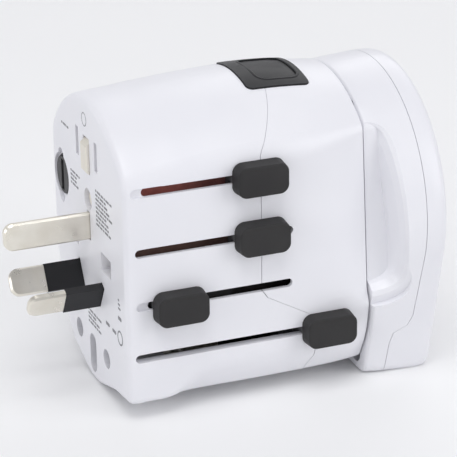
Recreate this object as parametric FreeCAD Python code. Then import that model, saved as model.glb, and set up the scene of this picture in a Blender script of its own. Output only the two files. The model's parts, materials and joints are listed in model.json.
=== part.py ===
"""Universal travel adapter with four sliding plug sets, a release button, a fuse drawer
and a pull-off earthed socket ring.

Design frame, in millimetres: X runs from the pin face (x = 0) to the rear, Z is up from the
line of the British line pins (z = 0), and the sliders sit on the -Y side. TO_ORIGIN moves
the finished pieces so that the origin is under the middle of the whole box, on the base.
"""
import FreeCAD, Part
import math
import os

V = FreeCAD.Vector
X_AXIS = V(1, 0, 0)
Y_AXIS = V(0, 1, 0)
Z_AXIS = V(0, 0, 1)

# ---------------------------------------------------------------- driving dimensions
BASE_Z = -32.6            # the plane that the adapter stands on
REAR_X = 74.0             # rear face of the socket ring
AUS_TIP_X = -19.9         # tip of the Australian earth pin when it is out
TO_ORIGIN = V(-(REAR_X + AUS_TIP_X) / 2, 0, -BASE_Z)

WALL = 2.2                # shell thickness
FACE_T = 2.7              # thickness of the pin face
SLIDER_SIDE = 24.5        # half width on the slider side
FAR_SIDE = 25.4           # half width on the other side
DOME_Z = 4.5              # centre of the domed top
DOME_SOFTEN = 7.0         # radius between dome and side panels
BODY_END = 57.0           # rear edge of the rear shell
SEAM_GAP = 0.14           # hairline between the two shells
NOSE_R = 1.5              # rounding between the pin face and the sides

TRAVEL = 20.0             # stroke of the three short plug sets

RING_X = 57.45            # front face of the socket ring
RING_Z = 5.0              # centre of the ring and of its well
RING_R = 31.2
RING_FOOT = 23.0          # half width of the ring's flat base, before its corners are rounded
RING_CORNER = 3.0
RING_FRONT_R = 0.9        # roundings of the ring's front and rear edges
RING_REAR_R = 2.4
RING_SUNK = 0.6           # how far the ring is drawn below its flat base before it is cut
RING_SLIM = 0.7           # how much slimmer the ring is at its front edge
WELL_R = 20.0             # radius of the round socket well
WELL_WALL = 1.5
SOCKET_Z = RING_Z         # line of the rear socket's line and neutral holes

# x of each body section, dome radius, flank bottom z, its rounding, chamfer foot (y, z), keel z
BODY_SECTIONS = [
    (0.0, 30.7, -28.2, 2.0, -21.6, -28.6, BASE_Z),
    (5.0, 31.0, -28.2, 2.0, -21.6, -28.6, BASE_Z),
    (9.6, 31.3, -28.0, 2.0, -21.6, -28.7, BASE_Z),
    (12.4, 31.6, -26.8, 2.0, -21.2, -28.9, -32.5),
    (15.4, 31.8, -24.6, 2.2, -20.8, -29.1, -32.3),
    (19.0, 32.05, -23.3, 2.4, -20.6, -29.2, -32.1),
    (25.0, 32.4, -23.0, 2.6, -20.5, -29.3, -32.0),
    (38.0, 32.7, -23.0, 3.0, -20.5, -29.3, -31.9),
    (47.0, 32.25, -22.7, 3.4, -20.4, -29.2, -31.7),
    (53.4, 31.6, -21.9, 3.7, -20.3, -28.9, -31.5),
    (BODY_END, 31.2, -20.9, 4.0, -20.2, -28.5, -31.4),
]
FLARE_START = 53.2        # where the lower flank begins to swell out to meet the ring
FLARE = 1.1
FACET_DIP = 0.3           # how far the side panel leans in towards the ring at its lower end
LEAN_START = 42.5         # where the side panel begins to lean in at its upper end
LEAN = 3.2


# ---------------------------------------------------------------- basic solids
def box(x0, x1, y0, y1, z0, z1):
    return Part.makeBox(x1 - x0, y1 - y0, z1 - z0, V(x0, y0, z0))


def rod(x0, x1, y, z, r):
    """A cylinder along X."""
    return Part.makeCylinder(r, x1 - x0, V(x0, y, z), X_AXIS)


def fuse(shapes):
    first = shapes[0]
    if len(shapes) == 1:
        return first
    return first.fuse(shapes[1:]).removeSplitter()


def slab_y(points, y0, y1):
    """A polygon given as (x, z) and pushed along Y."""
    loop = [V(x, y0, z) for x, z in points]
    face = Part.Face(Part.makePolygon(loop + loop[:1]))
    return face.extrude(V(0, y1 - y0, 0))


def rounded_box(x0, x1, y0, y1, z0, z1, r, axis):
    """A box whose four edges along one axis are rounded."""
    solid = box(x0, x1, y0, y1, z0, z1)
    along = [e for e in solid.Edges if abs(e.tangentAt(e.FirstParameter).dot(axis)) > 0.99]
    return solid.makeFillet(r, along)


def soften(solid, r, keep):
    """Round the edges that keep(edge) picks."""
    return solid.makeFillet(r, [e for e in solid.Edges if keep(e)])


# ---------------------------------------------------------------- body sections
def meet(p, u, q, v):
    """Where the line through p along u meets the line through q along v, in 2-D."""
    cross = u[0] * v[1] - u[1] * v[0]
    if abs(cross) < 1e-6:
        return q
    t = ((q[0] - p[0]) * v[1] - (q[1] - p[1]) * v[0]) / cross
    return (p[0] + t * u[0], p[1] + t * u[1])


def inset_chain(points, inset):
    """Move an open chain of (y, z) points to its left by inset."""
    if inset == 0:
        return points
    runs = []
    for a, b in zip(points, points[1:]):
        length = math.hypot(b[0] - a[0], b[1] - a[1])
        u = ((b[0] - a[0]) / length, (b[1] - a[1]) / length)
        start = (a[0] - u[1] * inset, a[1] + u[0] * inset)
        runs.append((start, u, (b[0] - u[1] * inset, b[1] + u[0] * inset)))
    moved = [runs[0][0]]
    for (p, u, _), (q, v, _) in zip(runs, runs[1:]):
        moved.append(meet(p, u, q, v))
    moved.append(runs[-1][2])
    return moved


def straight(a, b):
    """The four poles of a straight cubic."""
    return [a, a + (b - a) / 3, a + (b - a) * 2 / 3, b]


def soft_corner(into, corner, out):
    """The four poles of a cubic that rounds a corner."""
    return [into, into + (corner - into) * 2 / 3, out + (corner - out) * 2 / 3, out]


def arc_poles(centre, start, end):
    """The four poles of a cubic along an arc of up to about 60 degrees in a plane x = const."""
    a, b = start - centre, end - centre
    turn = a.getAngle(b)
    pull = 4 / 3 * math.tan(turn / 4)
    way = 1 if a.cross(b).x > 0 else -1
    return [start, start + X_AXIS.cross(a) * pull * way, end - X_AXIS.cross(b) * pull * way, end]


def chain_poles(x, points, setbacks):
    """Straight runs joined by soft corners, each starting a setback before its point."""
    at = [V(x, y, z) for y, z in points]
    pieces = []
    start = at[0]
    for before, corner, after, wanted in zip(at, at[1:], at[2:], setbacks):
        back = min(wanted, 0.45 * (before - corner).Length, 0.45 * (after - corner).Length)
        into = corner + (before - corner).normalize() * back
        out = corner + (after - corner).normalize() * back
        pieces.append(straight(start, into))
        pieces.append(soft_corner(into, corner, out))
        start = out
    pieces.append(straight(start, at[-1]))
    return pieces


def shoulder(x, half, radius, soft, side):
    """The soft edge between a side panel and the dome: on the panel, its centre, on the dome."""
    rise = math.sqrt((radius - soft) ** 2 - (half - soft) ** 2)
    centre = V(x, side * (half - soft), DOME_Z + rise)
    out = (centre - V(x, 0, DOME_Z)).normalize()
    return V(x, side * half, DOME_Z + rise), centre, V(x, 0, DOME_Z) + out * radius


def body_section(station, inset):
    """One section of the barrel, as a closed ring of cubics."""
    x, radius, flank_z, flank_soft, foot_y, foot_z, keel_z = station
    swell = max(0.0, (x - FLARE_START) / (BODY_END - FLARE_START)) ** 2
    panel = -SLIDER_SIDE + FACET_DIP * swell
    flank = -SLIDER_SIDE - FLARE * swell
    lean = max(0.0, (x - LEAN_START) / (BODY_END - LEAN_START))
    top = -SLIDER_SIDE + LEAN * lean
    near = shoulder(x, -top - inset, radius - inset, max(0.6, DOME_SOFTEN - 4 * lean - inset), -1)
    far = shoulder(x, FAR_SIDE - inset, radius - inset, max(0.6, DOME_SOFTEN - inset), 1)
    chain = [
        (top, near[0].z),
        (panel, -10.0),
        (flank, -13.0),
        (-SLIDER_SIDE + 0.3 * swell, flank_z),
        (foot_y, foot_z),
        (-13.8, -29.4),
        (-2.5, keel_z),
        (3.0, keel_z),
        (15.2, -28.6),
        (19.4, -23.6),
        (24.4, -11.0),
        (FAR_SIDE, 0.0),
        (FAR_SIDE, far[0].z),
    ]
    setbacks = [0.9, 0.9, flank_soft, 1.6, 1.6, 1.6, 1.6, 2.0, 2.4, 3.0, 3.0]
    points = inset_chain(chain, inset)
    points[0] = (near[0].y, near[0].z)
    ring = chain_poles(x, points, setbacks)
    centre = V(x, 0, DOME_Z)
    crown = V(x, 0, DOME_Z + radius - inset)
    ring.append(arc_poles(far[1], far[0], far[2]))
    ring.append(arc_poles(centre, far[2], crown))
    ring.append(arc_poles(centre, crown, near[2]))
    ring.append(arc_poles(near[1], near[2], near[0]))
    return ring


def ring_face(ring):
    """A flat face inside one ring of cubics."""
    edges = []
    for poles in ring:
        curve = Part.BezierCurve()
        curve.setPoles(poles)
        edges.append(curve.toShape())
    return Part.Face(Part.Wire(edges))


def skin(rings, places):
    """A closed solid through rings of cubics that stand at the given x places."""
    faces = []
    for pieces in zip(*rings):
        rows = []
        for pole in range(4):
            line = Part.BSplineCurve()
            line.interpolate(Points=[piece[pole] for piece in pieces], Parameters=places)
            rows.append(line)
        surface = Part.BSplineSurface()
        grid = [list(row) for row in zip(*[line.getPoles() for line in rows])]
        surface.buildFromPolesMultsKnots(
            grid, rows[0].getMultiplicities(), [4, 4], rows[0].getKnots(), [0, 1],
            False, False, rows[0].Degree, 3)
        faces.append(surface.toShape())
    faces += [ring_face(rings[0]), ring_face(rings[-1])]
    shell = Part.Shell(faces)
    shell.sewShape()
    solid = Part.Solid(shell)
    if solid.Volume < 0:
        solid.reverse()
    return solid


def body_solid(inset):
    """The whole barrel of the adapter, moved in by inset all round; the outside has a round nose."""
    rings, places = [], []
    stations = BODY_SECTIONS
    if inset <= 0:
        for step in range(4):
            angle = step * math.pi / 6
            x = NOSE_R * (1 - math.cos(angle))
            rings.append(body_section((x,) + stations[0][1:], inset + NOSE_R * (1 - math.sin(angle))))
            places.append(NOSE_R * (1 + angle - math.pi / 2))
        stations = stations[1:]
    for station in stations:
        rings.append(body_section(station, inset))
        places.append(station[0])
    return skin(rings, places)


# ---------------------------------------------------------------- socket ring sections
def ring_section(x, inset):
    """One section of the socket ring: a large arc on two leaning sides and a flat base."""
    radius = RING_R - inset
    base = BASE_Z - RING_SUNK + inset
    reach = math.hypot(RING_FOOT, RING_Z - BASE_Z)
    lean = math.acos(RING_R / reach) - math.atan2(RING_Z - BASE_Z, RING_FOOT)
    centre = V(x, 0, RING_Z)

    def on_arc(angle):
        return centre + V(0, math.cos(angle), math.sin(angle)) * radius

    slope = V(0, -math.sin(lean), math.cos(lean))
    right = on_arc(lean)
    foot = right - slope * ((right.z - base) / slope.z)
    left = V(x, -right.y, right.z)
    chain = [(left.y, left.z), (-foot.y, base), (foot.y, base), (right.y, right.z)]
    ring = chain_poles(x, chain, [RING_CORNER, RING_CORNER])
    sweep = (math.pi - 2 * lean) / 4
    for part in range(4):
        ring.append(arc_poles(centre, on_arc(lean + part * sweep), on_arc(lean + (part + 1) * sweep)))
    return ring


def ring_solid():
    """The outside of the socket ring, with a small front and a larger rear rounding."""
    rings, places = [], []
    for step in range(4):
        angle = step * math.pi / 6
        rings.append(ring_section(RING_X + RING_FRONT_R * (1 - math.cos(angle)),
                                  RING_SLIM + RING_FRONT_R * (1 - math.sin(angle))))
        places.append(RING_X + RING_FRONT_R * (1 + angle - math.pi / 2))
    for x, inset in ((62.0, 0.35), (66.5, 0.08)):
        rings.append(ring_section(x, inset))
        places.append(x)
    for step in range(5):
        angle = step * math.pi / 8
        rings.append(ring_section(REAR_X - RING_REAR_R * (1 - math.sin(angle)),
                                  RING_REAR_R * (1 - math.cos(angle))))
        places.append(REAR_X - RING_REAR_R + RING_REAR_R * angle)
    return skin(rings, places)


# ---------------------------------------------------------------- sliders and plug sets
SLOT_HALF = 1.0           # half height of the slots in the side panel
NECK_HALF = 0.8           # half height of the necks that run in them
SLOT_LIP = 1.0            # panel thickness beside the upper three slots
BUTTON_LONG, BUTTON_TALL, BUTTON_DEEP = 12.2, 7.5, 3.5
BUTTON_CORNER, BUTTON_DRAFT, BUTTON_EDGE = 2.3, 0.25, 0.35
AUS_BUTTON_DROP = 0.8     # the Australian button sits this much below its slot
BUTTON_GAP = 0.15         # between a button's back and the side panel
NECK_LONG = 12.0
ARM_IN, ARM_OUT = -20.3, -22.0    # the strip behind the panel where the arms rise to the slots
ARM_DROP, ROUND_DROP, ARM_TALL = 5.2, 3.7, 2.4    # the arms run inside, below their slots
LINER_IN, LINER_OUT = -18.7, -19.9
LINER_END = 47.0

# name: slot height, slot front end, slot rear end, button's left edge when pulled back
US_SLOT = (21.1, 4.1, 38.1, 24.7)
UK_SLOT = (7.3, 2.2, 39.0, 25.1)
AUS_SLOT = (-5.2, 5.0, 38.8, 25.9)
ROUND_SLOT = (-17.4, 1.75, 54.2, 41.1)
SLOTS = (US_SLOT, UK_SLOT, AUS_SLOT, ROUND_SLOT)

BLADE_CORNER, BLADE_BEVEL = 2.2, 0.4
CARRIER_X0, CARRIER_X1 = 23.0, 27.4   # US and Australian carriers, pulled back
US_LINE = (6.35, 23.6)                # half spacing and height of the US blades
US_GROUND_Z = 11.7
UK_LINE_Y = 11.1
UK_EARTH_Z = 22.23
AUS_LINE = (6.86, -8.6)
AUS_EARTH_Z = 5.5
AUS_TILT = 30.0
ROUND_LINE = (9.5, -23.3)
SWISS_EARTH_DROP = 5.0
FUSE_Y, FUSE_Z = 18.9, 11.0
CAP_FRONT = 0.25                      # the fuse cap lies this far behind the pin face


def pill_y(x0, x1, z, half, y0, y1):
    """A slot with round ends that runs along X and is pushed along Y."""
    middle = box(x0 + half, x1 - half, y0, y1, z - half, z + half)
    ends = [Part.makeCylinder(half, y1 - y0, V(x, y0, z), Y_AXIS) for x in (x0 + half, x1 - half)]
    return fuse([middle] + ends)


def pill_z(x0, x1, y, z0, z1, half):
    """A slot with round ends that runs along Z and is pushed along X."""
    middle = box(x0, x1, y - half, y + half, z0 + half, z1 - half)
    return fuse([middle] + [rod(x0, x1, y, z, half) for z in (z0 + half, z1 - half)])


def rounded_outline(x0, x1, z0, z1, radius, y):
    """A rounded rectangle in the plane at y."""
    centres = [(x1 - radius, z1 - radius), (x0 + radius, z1 - radius),
               (x0 + radius, z0 + radius), (x1 - radius, z0 + radius)]
    corners = []
    for quarter, (x, z) in enumerate(centres):
        turns = [math.radians(90 * quarter + turn) for turn in (0, 45, 90)]
        corners.append([V(x + radius * math.cos(turn), y, z + radius * math.sin(turn)) for turn in turns])
    edges = []
    for here, after in zip(corners, corners[1:] + corners[:1]):
        edges.append(Part.Arc(*here).toShape())
        edges.append(Part.makeLine(here[-1], after[0]))
    return Part.Wire(edges)


def slider_button(slot, drop=0.0):
    """A block that narrows a little to its front, with a rounded front edge."""
    z, _, _, left = slot
    back = -SLIDER_SIDE - BUTTON_GAP
    levels = [(0.0, 0.0)]
    for step in range(5):
        angle = step * math.pi / 8
        levels.append((BUTTON_DEEP - BUTTON_EDGE * (1 - math.sin(angle)),
                       BUTTON_DRAFT + BUTTON_EDGE * (1 - math.cos(angle))))
    wires = []
    for out, inset in levels:
        wires.append(rounded_outline(left + inset, left + BUTTON_LONG - inset,
                                     z - drop - BUTTON_TALL / 2 + inset, z - drop + BUTTON_TALL / 2 - inset,
                                     BUTTON_CORNER - inset, back - out))
    return Part.makeLoft(wires, True, True)


def slider_arm(slot, drop, reach_in):
    """The neck through the slot, the riser behind it and the arm that leads inside."""
    z, _, _, left = slot
    x0 = left + (BUTTON_LONG - NECK_LONG) / 2
    x1 = x0 + NECK_LONG
    neck = box(x0, x1, -SLIDER_SIDE - BUTTON_GAP, ARM_OUT, z - NECK_HALF, z + NECK_HALF)
    riser = box(x0, x1, ARM_OUT, ARM_IN, z - drop, z + NECK_HALF)
    arm = box(x0, x1, ARM_IN, reach_in, z - drop, z - drop + ARM_TALL)
    return [neck, riser, arm]


def chamfered_blade(x0, x1, y, z, half_y, half_z, tip):
    """A flat pin along -X, with its tip bevelled on all four sides."""
    shaft = box(x0 + tip, x1, y - half_y, y + half_y, z - half_z, z + half_z)
    big = [V(x0 + tip, y + a * half_y, z + b * half_z) for a, b in ((-1, -1), (1, -1), (1, 1), (-1, 1))]
    slim_y = half_y - min(tip * 0.6, half_y * 0.6)
    slim_z = half_z - tip * 0.7
    small = [V(x0, y + a * slim_y, z + b * slim_z) for a, b in ((-1, -1), (1, -1), (1, 1), (-1, 1))]
    nose = Part.makeLoft([Part.makePolygon(small + small[:1]), Part.makePolygon(big + big[:1])], True, True)
    return fuse([shaft, nose])


def flat_blade(x0, x1, y, z, half_y, half_z):
    """A flat pin along -X with a rounded, bevelled tip."""
    blade = box(x0, x1, y - half_y, y + half_y, z - half_z, z + half_z)
    blade = soften(blade, BLADE_CORNER, lambda e: e.BoundBox.XMax < x0 + 0.01 and e.BoundBox.YLength > half_y)
    tip = [e for e in blade.Edges if e.BoundBox.XMax < x0 + BLADE_CORNER + 0.01 and e.BoundBox.YLength < 0.01]
    return blade.makeChamfer(BLADE_BEVEL, tip)


def round_pin(x0, x1, y, z, r):
    """A round pin along -X with a rounded tip."""
    pin = rod(x0, x1, y, z, r)
    return soften(pin, r * 0.55, lambda e: e.BoundBox.XMax < x0 + 0.01)


def tilted(shape, y, z, degrees):
    return shape.rotate(V(0, y, z), X_AXIS, degrees)


def us_set():
    y, z = US_LINE
    parts = {}
    for name, side in (("us_neutral_blade", -1), ("us_live_blade", 1)):
        parts[name] = flat_blade(2.2, CARRIER_X0, side * y, z, 0.75, 3.15)
    parts["us_ground_pin"] = round_pin(0.7, CARRIER_X0, 0, US_GROUND_Z, 2.38)
    x0, x1 = CARRIER_X0, CARRIER_X1
    bridge = box(x0, x1, -9.0, 9.0, 27.0, 29.8)
    near_leg = box(x0, x1, -9.0, -4.2, 9.1, 27.0)
    far_leg = box(x0, x1, 4.2, 9.0, 19.8, 27.0)
    foot = box(x0, x1, -4.2, 3.0, 9.1, 14.6)
    slot_z, _, _, left = US_SLOT
    arm_z = slot_z - ARM_DROP
    run = box(x0, x1, ARM_IN, -9.0, arm_z, arm_z + ARM_TALL)
    arm = slider_arm(US_SLOT, ARM_DROP, LINER_IN + 2.0)
    link = box(x0, left + NECK_LONG, LINER_IN, LINER_IN + 2.0, arm_z, arm_z + ARM_TALL)
    parts["us_carrier"] = fuse([bridge, near_leg, far_leg, foot, run, link] + arm)
    parts["us_slider_button"] = slider_button(US_SLOT)
    return parts


def uk_set():
    rear0, rear1 = 49.5, 53.6
    parts = {}
    for name, side in (("uk_neutral_pin", -1), ("uk_live_pin", 1)):
        y = side * UK_LINE_Y
        parts[name] = fuse([chamfered_blade(2.3, 11.3, y, 0, 3.15, 1.98, 1.1),
                            box(11.3, 24.0, y - 2.6, y + 2.6, -1.5, 1.5)])
        sleeve = box(11.3, 22.3, y - 3.15, y + 3.15, -1.98, 1.98)
        parts[name.replace("pin", "sleeve")] = sleeve.cut(box(11.0, 23.0, y - 2.6, y + 2.6, -1.5, 1.5))
    earth = [(-0.8, -3.5), (-0.3, -3.95), (24.0, -3.95), (24.0, 3.95), (1.0, 3.95), (-0.8, 2.5)]
    earth_pin = slab_y([(x, UK_EARTH_Z + z) for x, z in earth], -1.98, 1.98)
    parts["uk_earth_pin"] = soften(
        earth_pin, 0.35, lambda e: e.BoundBox.XMax < -0.79 and e.BoundBox.ZLength > 2)
    posts = [box(24.0, rear0, side * UK_LINE_Y - 2.6, side * UK_LINE_Y + 2.6, -1.7, 1.7)
             for side in (-1, 1)]
    earth_post = box(24.0, rear0, -1.9, 1.9, 15.2, 20.2)
    earth_pad = box(24.0, 27.2, -1.9, 1.9, 18.4, 26.0)
    bar = box(rear0, rear1, -18.2, 13.7, -1.6, 1.6)
    column = box(rear0, rear1, -3.4, 3.4, 1.6, 20.2)
    slot_z, _, _, left = UK_SLOT
    arm_z = slot_z - ARM_DROP
    outrigger = box(rear0, rear1, -18.2, -15.6, -1.6, arm_z + ARM_TALL)
    run = box(left + 0.3, rear0, -18.2, -15.6, arm_z, arm_z + ARM_TALL)
    arm = slider_arm(UK_SLOT, ARM_DROP, LINER_IN + 0.5)
    parts["uk_carrier"] = fuse(posts + [earth_post, earth_pad, bar, column, outrigger, run] + arm)
    parts["uk_slider_button"] = slider_button(UK_SLOT)
    return parts


def aus_set():
    """The Australian set, drawn pulled back; it rests fully out, so it is moved at the end."""
    y, z = AUS_LINE
    tip_line, tip_earth = TRAVEL - 17.06, TRAVEL + AUS_TIP_X
    root = CARRIER_X0
    sleeve_end = TRAVEL - 8.7
    parts = {}
    for name, side in (("aus_neutral", -1), ("aus_live", 1)):
        blade = fuse([flat_blade(tip_line, sleeve_end, side * y, z, 0.82, 3.17),
                      box(sleeve_end, root, side * y - 0.45, side * y + 0.45, z - 2.6, z + 2.6)])
        sleeve = box(sleeve_end, root, side * y - 0.9, side * y + 0.9, z - 3.2, z + 3.2)
        core = box(sleeve_end - 1, root + 1, side * y - 0.45, side * y + 0.45, z - 2.6, z + 2.6)
        sleeve = sleeve.cut(core)
        parts[name + "_blade"] = tilted(blade, side * y, z, -side * AUS_TILT)
        parts[name + "_sleeve"] = tilted(sleeve, side * y, z, -side * AUS_TILT)
    parts["aus_earth_blade"] = flat_blade(tip_earth, root, 0, AUS_EARTH_Z, 0.82, 3.17)
    x0, x1 = CARRIER_X0, CARRIER_X1
    web = box(x0, x1, -3.5, 3.5, -12.5, 8.8)
    block = box(x0, x1, -9.4, 9.4, -12.6, -3.6)
    slot_z, _, _, left = AUS_SLOT
    arm_z = slot_z - ARM_DROP
    run = box(x0, x1, LINER_IN, -9.4, arm_z, arm_z + ARM_TALL)
    link = box(x0, left + NECK_LONG, LINER_IN, LINER_IN + 2.0, arm_z, arm_z + ARM_TALL)
    arm = slider_arm(AUS_SLOT, ARM_DROP, LINER_IN)
    parts["aus_carrier"] = fuse([web, block, run, link] + arm)
    tail0 = left + (BUTTON_LONG + NECK_LONG) / 2
    parts["aus_slot_cover"] = box(tail0, tail0 + 7.6, ARM_OUT, ARM_IN, slot_z - 1.6, slot_z + 1.6)
    parts["aus_slider_button"] = slider_button(AUS_SLOT, AUS_BUTTON_DROP)
    for shape in parts.values():
        shape.translate(V(-TRAVEL, 0, 0))
    return parts


def round_set():
    y, z = ROUND_LINE
    rear0, rear1 = 38.8, 46.5
    parts = {}
    for name, side in (("round_neutral", -1), ("round_live", 1)):
        bare = round_pin(17.0, 26.0, side * y, z, 1.98)
        core = rod(26.0, rear0, side * y, z, 1.5)
        parts[name + "_pin"] = fuse([bare, core])
        sleeve = rod(26.0, rear0, side * y, z, 1.9)
        parts[name + "_sleeve"] = sleeve.cut(rod(25.0, rear0 + 1, side * y, z, 1.5))
    parts["italian_earth_pin"] = round_pin(17.0, rear0, 0, z, 1.98)
    parts["swiss_earth_pin"] = round_pin(17.0, rear0, 0, z - SWISS_EARTH_DROP, 1.98)
    bar = box(rear0, rear1, -12.5, 12.5, -26.0, -20.4)
    keel = box(rear0, rear1, -3.0, 3.0, -29.2, -26.0)
    slot_z = ROUND_SLOT[0]
    arm_z = slot_z - ROUND_DROP
    run = box(rear0, rear1, LINER_IN, -12.5, arm_z, arm_z + ARM_TALL)
    arm = slider_arm(ROUND_SLOT, ROUND_DROP, LINER_IN)
    parts["round_carrier"] = fuse([bar, keel, run] + arm)
    parts["round_slider_button"] = slider_button(ROUND_SLOT)
    return parts


# ---------------------------------------------------------------- housing
RELEASE_X0, RELEASE_X1, RELEASE_HALF = 34.3, 49.5, 10.2   # opening of the release button
RELEASE_GAP = 0.15
PLATE_X = 54.6            # front face of the rear socket plate
FRAME_X0, FRAME_X1 = 27.7, 29.2       # the inner frame's upright
SHELF_Z0, SHELF_Z1 = 27.2, 28.7       # its shelf under the release springs
SPRING_X, SPRING_Y = 42.0, 7.0
SPRING_R, SPRING_WIRE, SPRING_LONG = 1.7, 0.2, 3.36
# screw bosses of the rear shell, as (y, z) and the (y, z) reach of the rib that carries each
BOSSES = [(-17.3, 19.4), (19.0, 18.5), (-15.9, -24.1), (16.0, -18.0)]
BOSS_RIBS = [(-4.6, 0), (4.6, 0), (0, -4.6), (4.6, 0)]
BUS_Y, BUS_Z0, BUS_Z1 = 16.0, -13.0, -10.8
METAL = 0.4               # thickness of the contact strips
TONGUES = [(-13.0, 26.0), (13.0, 26.0), (-9.0, -21.0), (9.0, -21.0)]
EARTH_TONGUE_Z = -15.6

# the seam between the shells, as (x, z) points seen from the side
SEAM = [(43.0, -40.0), (43.0, -27.5), (44.4, -24.5), (44.4, -15.6), (43.4, -13.9), (32.8, -7.9),
        (31.4, -5.8), (31.4, 25.4), (31.8, 26.4), (40.6, 38.7), (40.6, 50.0)]


def pin_holes():
    """The openings in the pin face for every set and for the fuse drawer."""
    x0, x1 = -1.0, FACE_T + 0.5
    holes = [rod(x0, x1, 0, US_GROUND_Z, 2.55),
             box(x0, x1, -2.1, 2.1, UK_EARTH_Z - 4.2, UK_EARTH_Z + 4.2),
             box(x0, x1, -1.05, 1.05, AUS_EARTH_Z - 3.4, AUS_EARTH_Z + 3.4)]
    for side in (-1, 1):
        y, z = US_LINE
        holes.append(box(x0, x1, side * y - 0.95, side * y + 0.95, z - 3.4, z + 3.4))
        holes.append(box(x0, x1, side * UK_LINE_Y - 3.35, side * UK_LINE_Y + 3.35, -2.15, 2.15))
        y, z = AUS_LINE
        hole = box(x0, x1, side * y - 1.1, side * y + 1.1, z - 3.4, z + 3.4)
        holes.append(tilted(hole, side * y, z, -side * AUS_TILT))
        y, z = ROUND_LINE
        holes.append(rod(x0, x1, side * y, z, 2.3))
    z = ROUND_LINE[1]
    holes.append(pill_z(x0, x1, 0, z - 7.2, z + 2.2, 2.2))
    holes.append(rod(x0, 5.3, FUSE_Y, FUSE_Z, 4.85))
    holes.append(rod(x0, 0.9, FUSE_Y, FUSE_Z, 5.2))
    holes.append(pill_z(x0, 0.9, FUSE_Y, FUSE_Z - 6.6, FUSE_Z + 6.6, 1.9))
    return holes


def side_slots():
    cuts = []
    for z, x0, x1, _ in SLOTS:
        cuts.append(pill_y(x0, x1, z, SLOT_HALF, -30.0, -21.0))
    for z, x0, x1, _ in SLOTS[:3]:
        cuts.append(box(max(x0, FACE_T), x1 + 1.5, -SLIDER_SIDE + SLOT_LIP, -21.0, z - 2.4, z + 2.4))
    for z, x0 in ((US_SLOT[0], 1.5), (AUS_SLOT[0], 2.2)):
        cuts.append(pill_y(x0, x0 + 8.0, z, SLOT_HALF + 0.05, -30.0, -SLIDER_SIDE + 0.6))
    return cuts


def seam_block(shift):
    """Everything in front of the seam, as one block."""
    points = [(-5.0, 50.0), (-5.0, -40.0)] + SEAM
    return slab_y([(x + shift, z) if x > 0 else (x, z) for x, z in points], -40.0, 40.0)


def housing_shells():
    floor = box(-5, 80, -40, 40, -60, BASE_Z)
    cavity = body_solid(WALL).common(box(FACE_T, 60, -40, 40, -40, 50))
    shell = body_solid(0).cut([floor, cavity])
    opening = rounded_box(RELEASE_X0, RELEASE_X1, -RELEASE_HALF, RELEASE_HALF, 27.0, 45.0, 1.6, Z_AXIS)
    channel = box(FACE_T, 48.0, -2.7, 2.7, ROUND_LINE[1] - SWISS_EARTH_DROP - 2.3, -26.0)
    ledge = box(-1, 1.0, -13.8, 19.4, -40, -22).cut(body_solid(1.2))
    shell = shell.cut(pin_holes() + side_slots() + [opening, channel, ledge])
    front = shell.common(seam_block(0))
    rear = shell.cut(seam_block(SEAM_GAP))
    bosses = []
    for (y, z), (dy, dz) in zip(BOSSES, BOSS_RIBS):
        post = rod(47.5, PLATE_X, y, z, 3.0)
        rib = box(47.5, PLATE_X, min(y, y + dy) - abs(dz) / 4.6, max(y, y + dy) + abs(dz) / 4.6,
                  min(z, z + dz) - abs(dy) / 4.6, max(z, z + dz) + abs(dy) / 4.6)
        bosses.append(post.fuse(rib).common(body_solid(WALL - 0.3)).cut(rod(46, 60, y, z, 1.1)))
    rear = rear.fuse(bosses).removeSplitter()
    return front, rear


def slot_liner():
    """The dark inner wall seen through the slots, with windows for the arms."""
    wall = box(FACE_T, LINER_END, LINER_OUT, LINER_IN, -18.6, 24.4)
    windows = []
    for z, _, x1, _ in SLOTS[:3]:
        arm_z = z - ARM_DROP
        windows.append(box(FACE_T + 0.2, x1 + 0.4, -21, -18, arm_z - 0.3, arm_z + ARM_TALL + 0.3))
    return wall.cut(windows)


def inner_frame():
    """An upright with openings for the sliding posts, and the shelf that backs the springs."""
    plate = body_solid(WALL + 0.1).common(box(FRAME_X0, FRAME_X1, -15.4, 30, -14.6, 29.6))
    x0, x1 = FRAME_X0 - 1, FRAME_X1 + 1
    cuts = [box(x0, x1, -2.3, 2.3, 14.8, 20.6),
            box(x0, x1, BUS_Y - 0.1, BUS_Y + 0.7, BUS_Z0 - 0.1, BUS_Z1 + 0.1)]
    for side in (-1, 1):
        cuts.append(box(x0, x1, side * UK_LINE_Y - 3.0, side * UK_LINE_Y + 3.0, -2.3, 2.3))
    shelf = box(FRAME_X1, 49.0, -11.0, 11.0, SHELF_Z0, SHELF_Z1)
    gap = box(41.4, 56, -3.2, 3.2, 20, 35)
    return fuse([plate.cut(cuts), shelf.cut(gap)])


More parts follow.
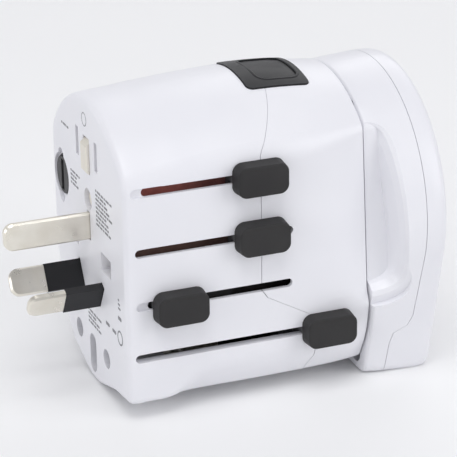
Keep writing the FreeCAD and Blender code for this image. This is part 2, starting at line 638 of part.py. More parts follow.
def release_button():
    """A saddle that follows the dome, with a sunk thumb panel and a flange that keeps it in."""
    gap = RELEASE_GAP
    lid = rounded_box(RELEASE_X0 + gap, RELEASE_X1 - gap, -RELEASE_HALF + gap, RELEASE_HALF - gap,
                      28.0, 45.0, 1.5, Z_AXIS)
    thumb = rounded_box(38.3, 47.9, -7.2, 7.2, 28.0, 45.0, 2.4, Z_AXIS)
    inside = body_solid(WALL)
    proud = body_solid(-0.3)
    saddle = lid.common(proud).cut(inside)
    saddle = saddle.cut(thumb.common(proud).cut(body_solid(0.0)))
    skirt = box(RELEASE_X0 - 0.9, RELEASE_X1 + 0.9, -11.2, 11.2, 27.0, 45.0)
    under = inside.copy()
    under.translate(V(0, 0, -0.15))
    lower = inside.copy()
    lower.translate(V(0, 0, -1.25))
    flange = skirt.common(under).cut(lower)
    neck = lid.common(body_solid(WALL - 0.1)).cut(lower)
    seats = [Part.makeCylinder(1.3, 3.0, V(SPRING_X, side * SPRING_Y, 31.6)) for side in (-1, 1)]
    seats.append(box(33.4, 35.4, -4.0, 4.0, 32.4, 34.0))
    return fuse([saddle, flange, neck] + [seat.cut(proud.cut(under)) for seat in seats])


def release_springs():
    """Two coil springs, each a round wire drawn along a helix."""
    turns, steps = 4, 12
    rings, places = [], []
    for step in range(turns * steps + 1):
        angle = 2 * math.pi * step / steps
        out = V(math.cos(angle), math.sin(angle), 0)
        centre = out * SPRING_R + Z_AXIS * (SPRING_LONG * step / (turns * steps))
        corners = [centre + (out * math.cos(a) + Z_AXIS * math.sin(a)) * SPRING_WIRE
                   for a in [k * math.pi / 2 for k in range(5)]]
        pull = SPRING_WIRE * 4 / 3 * math.tan(math.pi / 8)
        ring = []
        for k in range(4):
            a, b = k * math.pi / 2, (k + 1) * math.pi / 2
            leave = (Z_AXIS * math.cos(a) - out * math.sin(a)) * pull
            arrive = (Z_AXIS * math.cos(b) - out * math.sin(b)) * pull
            ring.append([corners[k], corners[k] + leave, corners[k + 1] - arrive, corners[k + 1]])
        rings.append(ring)
        places.append(step)
    coils = []
    for side in (-1, 1):
        coil = skin(rings, places)
        coil.translate(V(SPRING_X, side * SPRING_Y, SHELF_Z1 + SPRING_WIRE + 0.03))
        coils.append(coil)
    return Part.makeCompound(coils)


# ---------------------------------------------------------------- fuse drawer
def fuse_parts():
    y, z = FUSE_Y, FUSE_Z
    cap = soften(rod(CAP_FRONT, 3.8, y, z, 4.5), 0.3, lambda e: e.BoundBox.XMax < CAP_FRONT + 0.01)
    coin = box(-1, 2.1, y - 0.9, y + 0.9, z - 3.7, z + 3.7)
    teeth = []
    for step in range(20):
        angle = step * math.pi / 10
        teeth.append(rod(-1, 2.6, y + 4.75 * math.cos(angle), z + 4.75 * math.sin(angle), 0.45))
    cap = cap.cut([coin, rod(2.6, 4.0, y, z, 1.6)] + teeth)
    stub = rod(2.7, 3.9, y, z, 1.55)
    disc = rod(3.9, 5.0, y, z, 3.9)
    hollow = [rod(5.4, 25.9, y, z, 2.68), box(5.4, 25.9, y - 5, y + 5, z + 1.2, z + 5)]
    tray = rod(5.0, 26.6, y, z, 3.6).cut(hollow)
    tube = rod(6.1, 25.2, y, z, 2.3)
    caps = [rod(x0, x0 + 5.0, y, z, 2.6).cut(tube) for x0 in (5.5, 20.8)]
    cradle = box(8.0, 27.0, 15.2, 23.0, 6.2, z).cut(rod(5, 30, y, z, 3.9))
    contact = fuse([box(27.1, 27.1 + METAL, 15.6, 21.0, 8.4, 13.6),
                    box(27.1, 27.1 + METAL, BUS_Y, 17.6, BUS_Z1, 8.4)])
    return {"fuse_cap": cap, "fuse_drawer": fuse([stub, disc, tray]), "fuse_tube": tube,
            "fuse_end_caps": Part.makeCompound(caps), "fuse_cradle": cradle, "fuse_contact": contact}


# ---------------------------------------------------------------- rear socket
def line_hole(side, x0, x1):
    """The combined opening for one round, square or flat line pin."""
    z = SOCKET_Z
    y, _ = AUS_LINE
    slant = box(x0, x1, side * y - 1.1, side * y + 1.1, z - 3.5, z + 3.5)
    slant = tilted(slant, side * y, z, -side * AUS_TILT)
    return fuse([rod(x0, x1, side * 9.5, z, 2.6),
                 box(x0, x1, side * UK_LINE_Y - 3.35, side * UK_LINE_Y + 3.35, z - 2.2, z + 2.2),
                 box(x0, x1, side * 6.35 - 0.95, side * 6.35 + 0.95, z - 3.5, z + 3.5), slant])


def socket_plate():
    plate = body_solid(WALL + 0.15).common(box(PLATE_X, BODY_END - 0.2, -40, 40, -40, 50))
    x0, x1 = PLATE_X - 1, BODY_END + 1
    z = SOCKET_Z
    cuts = [line_hole(side, x0, x1) for side in (-1, 1)]
    cuts.append(box(x0, x1, -2.2, 2.2, z + 22.23 - 4.2, z + 22.23 + 4.2))
    cuts.append(rod(x0, x1, 0, z - 11.9, 2.55))
    cuts.append(box(x0, x1, -1.05, 1.05, z - 13.7, z - 6.9))
    cuts.append(box(x0, x1, -3.3, 3.3, EARTH_TONGUE_Z - 0.3, EARTH_TONGUE_Z + METAL + 0.3))
    for y, at in TONGUES:
        cuts.append(box(x0, x1, y - 3.3, y + 3.3, at - 1.1, at + 1.1))
    for y, at in BOSSES:
        cuts.append(rod(x0, x1, y, at, 1.3))
        cuts.append(rod(BODY_END - 1.6, x1, y, at, 2.5))
    return plate.cut(cuts)


def line_contact(side):
    """A folded strip that grips a pin in the rear socket and leads down to its bus."""
    z = SOCKET_Z
    x0, x1 = 40.0, PLATE_X

    def strip(xa, xb, ya, yb, za, zb):
        return box(xa, xb, *sorted((side * ya, side * yb)), za, zb)

    lower = strip(x0, x1, 9.4, 14.55, z - 2.6 - METAL, z - 2.65)
    upper = strip(x0, x1, 9.4, 14.55, z + 2.65, z + 2.6 + METAL)
    outer = strip(x0, x1, 14.55, 14.55 + METAL, z - 2.6 - METAL, z + 3.6)
    inner = strip(x0, x1, 3.9, 3.9 + METAL, z - 3.4, z + 3.6)
    yoke = strip(x1 - METAL, x1, 3.9, 15.05, z + 3.6, z + 5.4)
    drop = strip(x1 - METAL, x1, 14.55, 17.0, BUS_Z0, z - 2.0)
    return fuse([lower, upper, outer, inner, yoke, drop])


def line_bus(side):
    return box(5.0, PLATE_X - METAL, *sorted((side * BUS_Y, side * (BUS_Y + METAL))), BUS_Z0, BUS_Z1)


def earth_contact():
    """One strip with a grip for the British earth pin above and the round earth pin below."""
    z = SOCKET_Z
    x1 = PLATE_X
    x0 = x1 - METAL
    top = z + 22.23
    low = z - 11.9
    pieces = [box(42.0, x1, 2.3, 2.3 + METAL, top - 4.2, top + 4.2),
              box(42.0, x1, -2.3 - METAL, -2.3, top - 4.2, top + 4.2),
              box(x0, x1, -2.7, 3.8, top - 5.6, top - 4.2),
              box(x0, x1, 2.7, 3.8, low - 11.0, top + 4.2),
              box(44.0, x1, 2.65, 2.65 + METAL, low - 2.4, low + 2.4),
              box(44.0, x1, -2.65 - METAL, -2.65, low - 3.6, low + 2.4),
              box(x0, x1, -3.05, 3.8, low - 4.4, low - 3.2),
              box(x0, x1, -3.2, 3.8, low - 11.0, low - 9.4)]
    return fuse(pieces)


# ---------------------------------------------------------------- socket ring
# the seam between the ring's halves, and the finger scoops, as (x, z) points from the side
RING_SEAM = [(68.4, 45.0), (68.3, 0.0), (67.4, -17.6), (66.3, -20.0), (63.2, -21.6), (62.5, -24.5),
             (61.8, -40.0)]
SCOOP_FLOOR = [(54.0, 25.2), (57.0, 25.6), (58.7, 25.0), (59.7, 22.8), (60.3, 19.6), (61.4, 12.0),
               (62.1, 4.0), (62.3, -3.6), (61.6, -5.6), (59.7, -6.6), (57.0, -7.1), (54.0, -7.3)]
SCOOP_RIM = [(54.0, 28.2), (58.3, 28.5), (61.3, 27.4), (62.8, 24.8), (63.3, 20.6), (63.7, 12.0),
             (64.1, 4.5), (64.6, -5.4), (64.1, -8.8), (61.3, -10.7), (57.6, -11.3), (54.0, -11.5)]
SCOOP_DEEP = 0.5          # how far the scoop floor lies inside the body's own surface
RING_SCREWS = [(-17.6, -28.2), (17.6, -28.2), (-13.5, 29.0), (13.5, 29.0)]


def scoop_level(spread, place):
    """One outline of the scoop; spread is 0 on its floor and 1 at its rim."""
    points = []
    for (x0, z0), (x1, z1) in zip(SCOOP_FLOOR, SCOOP_RIM):
        x, z = x0 + (x1 - x0) * spread, z0 + (z1 - z0) * spread
        points.append(V(x, place(z), z))
    curve = Part.BSplineCurve()
    curve.interpolate(points)
    return Part.Wire([curve.toShape(), Part.makeLine(points[-1], points[0])])


def scoop(side):
    """The space a finger takes to pull the ring off: sloping walls with a soft lip."""
    def on_ring(radius):
        return lambda z: -math.sqrt(radius ** 2 - (z - RING_Z) ** 2)

    wires = [scoop_level(0.0, lambda z: -15.0)]
    for spread, radius in ((0.1, 24.2), (0.42, 28.2), (0.72, 30.2), (1.0, 30.95), (1.5, 31.35)):
        wires.append(scoop_level(spread, on_ring(radius)))
    wires.append(scoop_level(1.8, lambda z: -36.0))
    space = Part.makeLoft(wires, True, True)
    if side > 0:
        space = space.mirror(V(0, 0, 0), Y_AXIS)
    core = ring_face(body_section(BODY_SECTIONS[-1], SCOOP_DEEP)).extrude(V(REAR_X - BODY_END, 0, 0))
    return space.cut(core.fuse(core.translated(V(-10, 0, 0))))


def ring_parts():
    floor = box(-5, 80, -40, 40, -60, BASE_Z)
    outside = ring_solid().cut([floor, rod(50, 80, 0, RING_Z, WELL_R + WELL_WALL),
                                scoop(-1), scoop(1)])
    for y, z in RING_SCREWS:
        outside = outside.cut([rod(50, 61.0, y, z, 2.5), rod(50, 71.0, y, z, 1.55)])
    front_block = slab_y([(50.0, -40.0), (50.0, 45.0)] + RING_SEAM, -40, 40)
    rear_block = slab_y([(50.0, -40.0), (50.0, 45.0)] + [(x + SEAM_GAP, z) for x, z in RING_SEAM], -40, 40)
    front = outside.common(front_block)
    rear = outside.cut(rear_block)
    tongues = []
    for y, z in TONGUES:
        tongue = box(51.5, RING_X + 0.6, y - 3.0, y + 3.0, z - 0.8, z + 0.8)
        tongues.append(soften(tongue, 0.5, lambda e: e.BoundBox.XMax < 51.51))
    front = front.fuse(tongues).removeSplitter()
    screws = []
    for y, z in RING_SCREWS:
        head = rod(59.4, 61.0, y, z, 2.3).cut(box(59, 60.2, y - 0.4, y + 0.4, z - 1.6, z + 1.6))
        head = head.cut(box(59, 60.2, y - 1.6, y + 1.6, z - 0.4, z + 0.4))
        screws.append(fuse([head, rod(61.0, 70.5, y, z, 1.5)]))
    return front, rear, Part.makeCompound(screws)


def well_liner():
    """The round socket well, with its two side keys and grooves for the earth clips."""
    x0, x1 = RING_X, REAR_X - 0.5
    z = RING_Z
    wall = rod(x0, x1, 0, z, WELL_R + WELL_WALL - 0.02).cut(rod(x0 - 1, x1 + 1, 0, z, WELL_R))
    keys = []
    for side in (-1, 1):
        key = box(x0, x1 - 1.2, *sorted((side * 18.4, side * (WELL_R + 0.6))), z - 2.6, z + 2.6)
        keys.append(key)
    wall = fuse([wall] + keys)
    grooves = []
    for side in (-1, 1):
        grooves.append(box(x0 - 1, x1 - 2.0, -3.4, 3.4, *sorted((z + side * 18, z + side * 20.9))))
    return wall.cut(grooves)


def earth_clips():
    """Two sprung earth strips; the lower one reaches through the socket plate."""
    z = RING_Z
    clips = []
    for side in (-1, 1):
        outer = [(58.2, 20.75), (70.8, 20.75), (70.8, 20.0), (68.0, 17.9), (64.0, 17.5), (60.0, 18.8),
                 (58.2, 20.2)]
        inner = [(60.4, 19.4), (64.0, 18.1), (67.7, 18.45), (69.8, 20.15), (60.4, 20.15)]
        ring = slab_y([(x, z + side * r) for x, r in outer], -3.0, 3.0)
        clips.append(ring.cut(slab_y([(x, z + side * r) for x, r in inner], -4.0, 4.0)))
    tongue = box(52.0, 58.6, -2.2, 2.2, EARTH_TONGUE_Z, EARTH_TONGUE_Z + METAL)
    clips[0] = fuse([clips[0], tongue])
    return Part.makeCompound(clips)


def housing_screws():
    screws = []
    for y, z in BOSSES:
        head = rod(BODY_END - 1.6, BODY_END - 0.4, y, z, 2.3)
        head = head.cut(box(BODY_END - 1.0, BODY_END, y - 1.5, y + 1.5, z - 0.35, z + 0.35))
        head = head.cut(box(BODY_END - 1.0, BODY_END, y - 0.35, y + 0.35, z - 1.5, z + 1.5))
        screws.append(fuse([head, rod(48.5, BODY_END - 1.6, y, z, 1.08)]))
    return Part.makeCompound(screws)


# ---------------------------------------------------------------- write the parts
def build():
    parts = {}
    parts["front_shell"], parts["rear_shell"] = housing_shells()
    parts["slot_liner"] = slot_liner()
    parts["inner_frame"] = inner_frame()
    parts["socket_plate"] = socket_plate()
    parts["housing_screws"] = housing_screws()
    parts["live_contact"], parts["neutral_contact"] = line_contact(1), line_contact(-1)
    parts["live_bus"], parts["neutral_bus"] = line_bus(1), line_bus(-1)
    parts["earth_contact"] = earth_contact()
    parts["release_button"] = release_button()
    parts["lock_plate"] = box(20.0, 35.4, -4.0, 4.0, 31.6, 32.4)
    parts["release_springs"] = release_springs()
    parts.update(fuse_parts())
    for plug_set in (us_set, uk_set, aus_set, round_set):
        parts.update(plug_set())
    parts["ring_front_shell"], parts["ring_rear_shell"], parts["ring_screws"] = ring_parts()
    parts["well_liner"] = well_liner()
    parts["earth_clips"] = earth_clips()
    return parts


os.makedirs("parts", exist_ok=True)
for name, shape in build().items():
    placed = shape.copy()
    placed.translate(TO_ORIGIN)
    placed.exportStep("parts/" + name + ".step")
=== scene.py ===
import json
import math

import bmesh
import bpy
from mathutils import Matrix, Vector


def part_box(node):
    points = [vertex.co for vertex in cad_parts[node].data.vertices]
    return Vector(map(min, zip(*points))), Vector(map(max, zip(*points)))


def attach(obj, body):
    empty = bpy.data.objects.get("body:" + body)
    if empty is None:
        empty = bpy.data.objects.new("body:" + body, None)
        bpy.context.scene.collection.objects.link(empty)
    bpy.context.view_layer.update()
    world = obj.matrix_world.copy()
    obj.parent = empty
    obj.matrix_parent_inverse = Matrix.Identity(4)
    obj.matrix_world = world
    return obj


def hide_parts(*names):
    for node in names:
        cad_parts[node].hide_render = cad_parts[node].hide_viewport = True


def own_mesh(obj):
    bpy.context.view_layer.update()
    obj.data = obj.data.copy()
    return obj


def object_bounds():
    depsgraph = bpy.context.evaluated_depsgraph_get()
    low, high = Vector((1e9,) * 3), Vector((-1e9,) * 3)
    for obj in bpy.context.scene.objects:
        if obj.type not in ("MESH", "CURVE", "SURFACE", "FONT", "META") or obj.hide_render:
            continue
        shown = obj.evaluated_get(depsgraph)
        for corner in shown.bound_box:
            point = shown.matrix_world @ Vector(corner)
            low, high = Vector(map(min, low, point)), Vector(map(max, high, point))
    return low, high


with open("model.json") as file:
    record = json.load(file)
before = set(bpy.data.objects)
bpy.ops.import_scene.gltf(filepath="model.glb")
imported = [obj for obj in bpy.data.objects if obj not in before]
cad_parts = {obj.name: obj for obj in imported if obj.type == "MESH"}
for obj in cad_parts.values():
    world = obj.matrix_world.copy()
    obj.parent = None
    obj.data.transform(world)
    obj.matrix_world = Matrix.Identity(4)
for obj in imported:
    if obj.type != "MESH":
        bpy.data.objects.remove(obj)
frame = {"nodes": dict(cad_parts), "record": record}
cad_low, cad_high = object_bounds()

MM = 0.001

# where the pin face and the line of the British line pins lie in the row frame, in metres
PIN_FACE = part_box("front_shell")[0].x
PIN_LINE_Z = 32.6 * MM


def row(x, y, z):
    """A point in design millimetres, as a point of the row frame in metres."""
    return Vector((PIN_FACE + x * MM, y * MM, PIN_LINE_Z + z * MM))


# ---------------------------------------------------------------- materials
class Finish:
    """A node material built up from noise layers around one Principled shader."""

    def __init__(self, name, roughness, metallic=0.0, specular=0.5):
        self.material = bpy.data.materials.new(name)
        self.material.use_nodes = True
        self.tree = self.material.node_tree
        self.shader = self.tree.nodes["Principled BSDF"]
        self.shader.inputs["Roughness"].default_value = roughness
        self.shader.inputs["Metallic"].default_value = metallic
        self.shader.inputs["Specular IOR Level"].default_value = specular
        self.coords = self.node("ShaderNodeTexCoord").outputs["Object"]
        self.height = None

    def node(self, kind, **values):
        made = self.tree.nodes.new(kind)
        for key, value in values.items():
            if key in made.inputs:
                made.inputs[key].default_value = value
            else:
                setattr(made, key, value)
        return made

    def link(self, a, b):
        self.tree.links.new(a, b)

    def noise(self, size, detail=3.0, stretch=(1, 1, 1)):
        """Noise whose features are about size metres across, longer along a stretched axis."""
        mapping = self.node("ShaderNodeMapping")
        mapping.inputs["Scale"].default_value = [1 / (size * s) for s in stretch]
        self.link(self.coords, mapping.inputs["Vector"])
        made = self.node("ShaderNodeTexNoise", Scale=1.0, Detail=detail, Roughness=0.55)
        self.link(mapping.outputs["Vector"], made.inputs["Vector"])
        return made.outputs["Fac"]

    def span(self, value, low, high, start=0.3, end=0.7):
        """Maps a 0 to 1 value to a range of numbers."""
        made = self.node("ShaderNodeMapRange")
        made.inputs["From Min"].default_value = start
        made.inputs["From Max"].default_value = end
        made.inputs["To Min"].default_value = low
        made.inputs["To Max"].default_value = high
        self.link(value, made.inputs["Value"])
        return made.outputs["Result"]

    def mix(self, factor, a, b):
        """Colour a where factor is 0 and colour b where it is 1; each is a colour or a socket."""
        made = self.node("ShaderNodeMix", data_type="RGBA")
        self.link(factor, made.inputs[0])
        for socket, colour in ((made.inputs[6], a), (made.inputs[7], b)):
            if isinstance(colour, bpy.types.NodeSocket):
                self.link(colour, socket)
            else:
                socket.default_value = (*colour, 1)
        return made.outputs[2]

    def colour(self, socket):
        self.link(socket, self.shader.inputs["Base Color"])

    def rough(self, socket):
        self.link(socket, self.shader.inputs["Roughness"])

    def bump(self, value, depth):
        """Adds relief of about depth metres."""
        made = self.node("ShaderNodeBump", Strength=1.0, Distance=depth)
        self.link(value, made.inputs["Height"])
        if self.height:
            self.link(self.height, made.inputs["Normal"])
        self.height = made.outputs["Normal"]
        self.link(self.height, self.shader.inputs["Normal"])


def moulded(name, light, dark, roughness, grain, depth, specular):
    """Moulded plastic: a fine spark-eroded grain, slow drifts of colour and handling polish."""
    made = Finish(name, roughness, specular=specular)
    drift = made.noise(0.02, 2.0)
    speck = made.noise(grain * 2.5, 2.0)
    tone = made.mix(made.span(drift, 0.0, 1.0), dark, light)
    made.colour(made.mix(made.span(speck, 0.0, 0.25), tone, dark))
    made.rough(made.span(made.noise(0.012, 4.0), roughness - 0.05, roughness + 0.07))
    made.bump(made.noise(grain, 2.0), depth)
    made.bump(made.noise(0.018, 1.0), depth * 2)
    return made.material


def plated(name, light, dark, roughness, along):
    """Plated metal: polishing lines along its length, smudges and slight tarnish."""
    made = Finish(name, roughness, metallic=1.0)
    tarnish = made.noise(0.006, 4.0)
    made.colour(made.mix(made.span(tarnish, 0.0, 1.0), dark, light))
    lines = made.noise(0.00025, 3.0, along)
    smudge = made.noise(0.0035, 5.0)
    made.rough(made.span(smudge, roughness - 0.06, roughness + 0.14))
    made.bump(lines, 0.000003)
    made.bump(made.noise(0.006, 2.0), 0.000015)
    return made.material


# where the liner's painted shade sets in, in design millimetres
LINER_SHADE_BACK = (10, 28)        # x, from the front colour to the rear one
LINER_SHADE_UNDER = (11, 17)       # z, between the second slot and the top one
LINER_SHADE_BOTTOM = (-1, 3)       # z, between the third slot and the second one


def shaded_liner(name, front, rear, low, shadowed_lowest):
    """The liner's red plastic with painted shade: reddest at the front of the top slot, darkened to
    the rear and downwards where the slots lie in shadow, nearly black in the lowest slot.
    """
    made = Finish(name, 0.5, specular=0.3)
    place = made.node("ShaderNodeSeparateXYZ")
    made.link(made.coords, place.inputs["Vector"])
    back = made.span(place.outputs["X"], 0.0, 1.0, *(row(x, 0, 0).x for x in LINER_SHADE_BACK))
    shade_under = made.span(place.outputs["Z"], 1.0, 0.0, *(row(0, 0, z).z for z in LINER_SHADE_UNDER))
    shade_bottom = made.span(place.outputs["Z"], 1.0, 0.0, *(row(0, 0, z).z for z in LINER_SHADE_BOTTOM))
    # painted shade: the red darkens towards the rear, below the top slot and again in the lowest slot
    tone = made.mix(shade_bottom, made.mix(shade_under, made.mix(back, front, rear), low), shadowed_lowest)
    made.colour(made.mix(made.span(made.noise(0.003, 3.0), 0.0, 0.3), tone, shadowed_lowest))
    made.rough(made.span(made.noise(0.002), 0.4, 0.6))
    made.bump(made.noise(0.0003), 0.00001)
    return made.material


# name: light colour, dark colour, roughness, size and depth of the grain in metres, specular
MOULDED = {
    "shell_white": ((0.86, 0.86, 0.895), (0.83, 0.83, 0.87), 0.36, 0.00022, 0.000006, 0.5),
    "ring_white": ((0.86, 0.86, 0.895), (0.83, 0.83, 0.87), 0.33, 0.00022, 0.000005, 0.5),
    "well_white": ((0.84, 0.84, 0.87), (0.81, 0.81, 0.84), 0.25, 0.0003, 0.000003, 0.5),
    "slider_black": ((0.032, 0.031, 0.031), (0.022, 0.021, 0.022), 0.62, 0.00016, 0.00002, 0.35),
    "release_grey": ((0.022, 0.022, 0.024), (0.016, 0.016, 0.018), 0.40, 0.00025, 0.000008, 0.25),
    "sleeve_black": ((0.016, 0.016, 0.018), (0.010, 0.010, 0.012), 0.45, 0.0002, 0.000008, 0.35),
    "fuse_cap_grey": ((0.055, 0.055, 0.058), (0.04, 0.04, 0.043), 0.45, 0.0002, 0.00001, 0.35),
    "carrier_grey": ((0.12, 0.12, 0.125), (0.09, 0.09, 0.095), 0.55, 0.0003, 0.00002, 0.5),
    "fuse_ceramic": ((0.80, 0.78, 0.72), (0.74, 0.72, 0.66), 0.35, 0.0004, 0.00001, 0.5),
}
# name: light colour, dark colour, roughness, how far the polishing lines stretch along each axis
PLATED = {
    "nickel_plated": ((0.87, 0.84, 0.76), (0.78, 0.74, 0.65), 0.30, (12, 1, 1)),
    "contact_brass": ((0.83, 0.62, 0.27), (0.66, 0.46, 0.20), 0.30, (12, 1, 1)),
    "spring_steel": ((0.70, 0.70, 0.71), (0.55, 0.55, 0.56), 0.30, (12, 1, 1)),
    "screw_steel": ((0.52, 0.52, 0.54), (0.40, 0.40, 0.42), 0.34, (1, 1, 1)),
}
# colours of the liner: its own red at the front of the top slot, then painted shade at the rear of
# the top slot, in the slots below it and in the lowest slot
LINER_TONES_AND_SHADE = ((0.78, 0.26, 0.22), (0.44, 0.20, 0.18), (0.28, 0.17, 0.14), (0.03, 0.026, 0.026))

LOOKS = {name: moulded(name, *values) for name, values in MOULDED.items()}
LOOKS["liner_brown"] = shaded_liner("liner_brown", *LINER_TONES_AND_SHADE)
LOOKS.update({name: plated(name, *values) for name, values in PLATED.items()})

for part in frame["record"]["subparts"]:
    node = frame["nodes"][part["node"]]
    node.data.materials.clear()
    node.data.materials.append(LOOKS[part["material_slot"]])


def finished(name, mesh, material):
    """An object of the scene made from a mesh that is complete."""
    bmesh.ops.recalc_face_normals(mesh, faces=mesh.faces)
    data = bpy.data.meshes.new(name)
    mesh.to_mesh(data)
    mesh.free()
    made = bpy.data.objects.new(name, data)
    bpy.context.collection.objects.link(made)
    data.materials.append(material)
    return made


# ---------------------------------------------------------------- printed marks on the pin face
PRINT_HIGH = 0.03 * MM
PRINT_TALL = 0.5      # height of a printed bar, in mm
# blocks of plain bars: left end y, top line z, length, number of lines
MARK_BLOCKS = [(17.6, 24.4, 5.2, 1), (12.0, 14.8, 6.8, 4), (-5.4, 15.8, 11.0, 9),
               (2.6, -15.6, 10.0, 4), (-18.6, -5.0, 2.2, 3)]
MARK_PITCH = 0.98     # from one line to the next
LINE_SHORTER = 0.12   # how much shorter a line may get, as a share of its block, in up to 3 steps
WORD_SHORT, WORD_STEP, WORD_GAP = 0.9, 0.7, 0.3       # lengths of the bars in a line
WIDE_BARS = [(-18.3, -9.3, 2.4, 0.9), (-9.8, -14.0, 2.6, 0.8), (-14.2, -14.0, 2.6, 0.8)]
PRINT_RINGS = [(-19.4, -14.0, 1.75, 0.4), (0.9, 30.2, 1.6, 0.22)]       # y, z, radius, line width
RING_STEPS = 40
CLIP = 0.3            # how far a bar's ends are clipped, as a share of its height


def print_bar(mesh, y, z, length, tall=PRINT_TALL):
    """A thin bar with clipped ends on the pin face, from y towards -Y."""
    clip = tall * CLIP
    outline = [(y, z), (y - clip, z + tall / 2), (y - length + clip, z + tall / 2), (y - length, z),
               (y - length + clip, z - tall / 2), (y - clip, z - tall / 2)]
    low = [mesh.verts.new(row(0, a, b)) for a, b in outline]
    top = [mesh.verts.new(row(0, a, b) - Vector((PRINT_HIGH, 0, 0))) for a, b in outline]
    mesh.faces.new(top)
    mesh.faces.new(low[::-1])
    for i in range(len(outline)):
        j = (i + 1) % len(outline)
        mesh.faces.new((low[i], low[j], top[j], top[i]))


def print_ring(mesh, y, z, radius, width):
    """A thin printed circle on the pin face."""
    turns = [2 * math.pi * step / RING_STEPS for step in range(RING_STEPS)]
    inside = radius - width
    rims = []
    for reach, lift in ((radius, 0), (radius, PRINT_HIGH), (inside, PRINT_HIGH), (inside, 0)):
        raised = Vector((lift, 0, 0))
        places = [row(0, y + reach * math.cos(turn), z + reach * math.sin(turn)) for turn in turns]
        rims.append([mesh.verts.new(place - raised) for place in places])
    for inner, outer in zip(rims, rims[1:] + rims[:1]):
        for i in range(RING_STEPS):
            j = (i + 1) % RING_STEPS
            mesh.faces.new((inner[i], inner[j], outer[j], outer[i]))


def face_marks():
    """Plain printed bars and rings in place of the small print."""
    mesh = bmesh.new()
    for left, top, length, lines in MARK_BLOCKS:
        for line in range(lines):
            z = top - line * MARK_PITCH
            shorter = length * (LINE_SHORTER * ((line * 3) % 4))
            at, end, word = left, left - length + shorter, 0
            while at - end > 1.0:
                long = min(WORD_SHORT + WORD_STEP * ((line + word * 2) % 3), at - end)
                print_bar(mesh, at, z, long)
                at -= long + WORD_GAP
                word += 1
    for y, z, length, tall in WIDE_BARS:
        print_bar(mesh, y, z, length, tall)
    for y, z, radius, width in PRINT_RINGS:
        print_ring(mesh, y, z, radius, width)
    ink = moulded("print_grey", (0.17, 0.17, 0.18), (0.30, 0.30, 0.32), 0.6, 0.0002, 0.000002, 0.5)
    marks = finished("face_marks", mesh, ink)
    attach(marks, "housing")


face_marks()


# ---------------------------------------------------------------- thumb lip
LIP = (38.0, 48.2, 7.5)       # front, rear and half width of the thumb panel's lip, in mm
LIP_CORNER = 2.6
# the lip across its width: how far aside, and how high over the button, in mm
LIP_PROFILE = [(-0.45, -0.05), (-0.28, 0.05), (-0.1, 0.12), (0.1, 0.12), (0.28, 0.05), (0.45, -0.05)]
CORNER_STEPS, SIDE_STEPS = 8, 10
OVER_DOME = 45                # a height above the whole button, in mm


def thumb_lip():
    """A soft rolled lip round the thumb panel, laid on the release button's own surface."""
    front, rear, half = LIP
    button = frame["nodes"]["release_button"]
    centres = [(rear - LIP_CORNER, half - LIP_CORNER), (front + LIP_CORNER, half - LIP_CORNER),
               (front + LIP_CORNER, LIP_CORNER - half), (rear - LIP_CORNER, LIP_CORNER - half)]
    path = []
    for quarter, (x, y) in enumerate(centres):
        for step in range(CORNER_STEPS + 1):
            turn = math.radians(90 * quarter + 90 * step / CORNER_STEPS)
            path.append((x, y, math.cos(turn), math.sin(turn)))
        following = centres[(quarter + 1) % 4]
        turn = math.radians(90 * quarter + 90)
        for step in range(1, SIDE_STEPS):
            share = step / SIDE_STEPS
            path.append((x + (following[0] - x) * share, y + (following[1] - y) * share,
                         math.cos(turn), math.sin(turn)))
    mesh = bmesh.new()
    ribs = []
    for x, y, out_x, out_y in path:
        rib = []
        for aside, lift in LIP_PROFILE:
            reach = LIP_CORNER + aside
            above = row(x + reach * out_x, y + reach * out_y, OVER_DOME)
            found, point, _, _ = button.ray_cast(above, Vector((0, 0, -1)))
            top = point.z if found else above.z
            rib.append(mesh.verts.new((above.x, above.y, min(top + lift * MM, cad_high.z))))
        ribs.append(rib)
    for rib, following in zip(ribs, ribs[1:] + ribs[:1]):
        for i in range(len(rib)):
            j = (i + 1) % len(rib)
            mesh.faces.new((rib[i], following[i], following[j], rib[j]))
    lip = finished("thumb_lip", mesh, LOOKS["release_grey"])
    for face in lip.data.polygons:
        face.use_smooth = True
    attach(lip, "release")


thumb_lip()


# ---------------------------------------------------------------- springs under the release button
COIL_PLACES = [(42.0, -7.0), (42.0, 7.0)]
COIL_LOW = 28.93      # height of the wire's centre at its lower end
COIL_R, COIL_WIRE, COIL_RISE, COIL_TURNS = 1.7, 0.2, 3.36, 4
COIL_STEPS, WIRE_SIDES = 24, 8        # faces along one turn, and around the wire


def spring_coils():
    """The two coil springs, fixed to the housing in place of the release springs part."""
    mesh = bmesh.new()
    steps = COIL_TURNS * COIL_STEPS
    for x, y in COIL_PLACES:
        rings = []
        for step in range(steps + 1):
            along = 2 * math.pi * step / COIL_STEPS
            ring = []
            for side in range(WIRE_SIDES):
                around = 2 * math.pi * side / WIRE_SIDES
                reach = COIL_R + COIL_WIRE * math.cos(around)
                z = COIL_LOW + COIL_RISE * step / steps + COIL_WIRE * math.sin(around)
                place = row(x + reach * math.cos(along), y + reach * math.sin(along), z)
                ring.append(mesh.verts.new(place))
            rings.append(ring)
        for here, after in zip(rings, rings[1:]):
            for i in range(WIRE_SIDES):
                j = (i + 1) % WIRE_SIDES
                mesh.faces.new((here[i], here[j], after[j], after[i]))
        mesh.faces.new(rings[0])
        mesh.faces.new(rings[-1][::-1])
    coils = finished("spring_coils", mesh, LOOKS["spring_steel"])
    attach(coils, "housing")
    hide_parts("release_springs")
    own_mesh(coils)


spring_coils()


# ---------------------------------------------------------------- softened edges
# name: width of the rounding, in mm
BEVELLED = {
    "us_live_blade": 0.06, "us_neutral_blade": 0.06,
    "aus_live_blade": 0.07, "aus_neutral_blade": 0.07, "aus_earth_blade": 0.07,
    "uk_live_pin": 0.1, "uk_neutral_pin": 0.1, "uk_earth_pin": 0.1,
    "aus_live_sleeve": 0.05, "aus_neutral_sleeve": 0.05,
    "uk_live_sleeve": 0.08, "uk_neutral_sleeve": 0.08,
}
SHARP = 35            # edges that turn by more than this many degrees are rounded

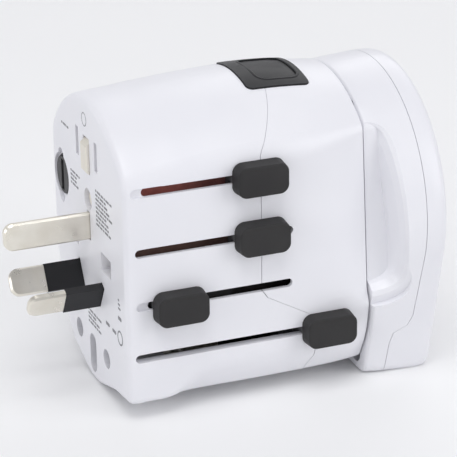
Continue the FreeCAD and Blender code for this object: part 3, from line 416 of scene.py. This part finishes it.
for name, width in BEVELLED.items():
    bevel = frame["nodes"][name].modifiers.new("soft_edges", "BEVEL")
    bevel.width = width * MM
    bevel.segments = 2
    bevel.limit_method = "ANGLE"
    bevel.angle_limit = math.radians(SHARP)


# ---------------------------------------------------------------- studio
# the floor's section, in metres: its front end, where it bends up, the bend, and its top
FLOOR_FRONT, FLOOR_BEND, BEND_R, FLOOR_TOP = -0.9, 0.55, 0.25, 1.2
BEND_TURNS = (0.26, 0.52, 0.79, 1.05, 1.31, 1.57)
FLOOR_HALF = 1.4
FLOOR_TURN = 21.4     # how far the floor is turned to face the camera, in degrees
# name: place, size, power
LAMPS = {
    "key": ((-0.15, -0.35, 0.95), (0.6, 0.6), 3.7),
    "side_fill": ((0.75, -0.75, 0.45), (0.6, 0.7), 3.3),
    "pin_fill": ((-0.9, -0.3, 0.3), (0.4, 0.5), 1.5),
    "rim": ((0.5, 0.6, 0.6), (0.6, 0.4), 1.3),
}
SKY, SKY_STRENGTH = (0.93, 0.94, 1.0, 1), 0.42
# the camera: azimuth, elevation and roll in degrees, distance in metres from a point on the
# adapter's axis, focal length and picture width in pixels, and the picture's shift in mm
CAMERA_TURNS = (-21.42, 22.06, -0.75)
CAMERA_FAR, FOCAL, FRAME = 0.54243, 2368.59, 457
PIVOT_X, SHIFT_ACROSS, SHIFT_UP = 38, 4.28, 1.31
SENSOR = 36           # in mm


def studio_floor():
    """A pale sweep that curves up far behind the adapter."""
    mesh = bmesh.new()
    profile = [(FLOOR_FRONT, 0.0), (FLOOR_BEND, 0.0)]
    for turn in BEND_TURNS:
        profile.append((FLOOR_BEND + BEND_R * math.sin(turn), BEND_R - BEND_R * math.cos(turn)))
    profile.append((FLOOR_BEND + BEND_R, FLOOR_TOP))
    rows = [[mesh.verts.new((side * FLOOR_HALF, y, z)) for y, z in profile] for side in (-1, 1)]
    for index in range(len(profile) - 1):
        mesh.faces.new((rows[0][index], rows[1][index], rows[1][index + 1], rows[0][index + 1]))
    data = bpy.data.meshes.new("studio_floor")
    mesh.to_mesh(data)
    mesh.free()
    floor = bpy.data.objects.new("studio_floor", data)
    floor.rotation_euler = (0, 0, math.radians(FLOOR_TURN))
    bpy.context.collection.objects.link(floor)
    look = Finish("studio_floor", 0.85, specular=0.1)
    look.colour(look.mix(look.noise(0.3), (0.93, 0.93, 0.93), (0.95, 0.95, 0.95)))
    data.materials.append(look.material)
    for face in data.polygons:
        face.use_smooth = True


def lamp(name, place, target, size, power):
    """A soft rectangular lamp that faces its target."""
    data = bpy.data.lights.new(name, "AREA")
    data.shape = "RECTANGLE"
    data.size, data.size_y = size
    data.energy = power
    made = bpy.data.objects.new(name, data)
    made.location = place
    made.rotation_euler = (Vector(target) - Vector(place)).to_track_quat("-Z", "Y").to_euler()
    bpy.context.collection.objects.link(made)


def camera():
    """A long-lens camera above the pin face, on the slider side."""
    azimuth, elevation, roll = (math.radians(turn) for turn in CAMERA_TURNS)
    level = math.cos(elevation)
    back = Vector((math.sin(azimuth) * level, -math.cos(azimuth) * level, math.sin(elevation)))
    flat = (-back).cross(Vector((0, 0, 1))).normalized()
    steep = flat.cross(-back)
    right = math.cos(roll) * flat + math.sin(roll) * steep
    up = math.cos(roll) * steep - math.sin(roll) * flat
    data = bpy.data.cameras.new("camera")
    data.sensor_width = SENSOR
    data.lens = SENSOR * FOCAL / FRAME
    data.clip_start, data.clip_end = 0.01, 20
    made = bpy.data.objects.new("camera", data)
    turn = Matrix((right, up, back)).transposed()
    shift = SHIFT_ACROSS * MM * right + SHIFT_UP * MM * up
    place = row(PIVOT_X, 0, 0) + CAMERA_FAR * back - shift
    made.matrix_world = Matrix.Translation(place) @ turn.to_4x4()
    bpy.context.collection.objects.link(made)
    bpy.context.scene.camera = made


studio_floor()
middle = (cad_low + cad_high) / 2
for name, (place, size, power) in LAMPS.items():
    lamp(name, place, middle, size, power)

world = bpy.data.worlds.new("studio")
world.use_nodes = True
world.node_tree.nodes["Background"].inputs["Color"].default_value = SKY
world.node_tree.nodes["Background"].inputs["Strength"].default_value = SKY_STRENGTH
bpy.context.scene.world = world
bpy.context.scene.view_settings.view_transform = "Standard"
camera()
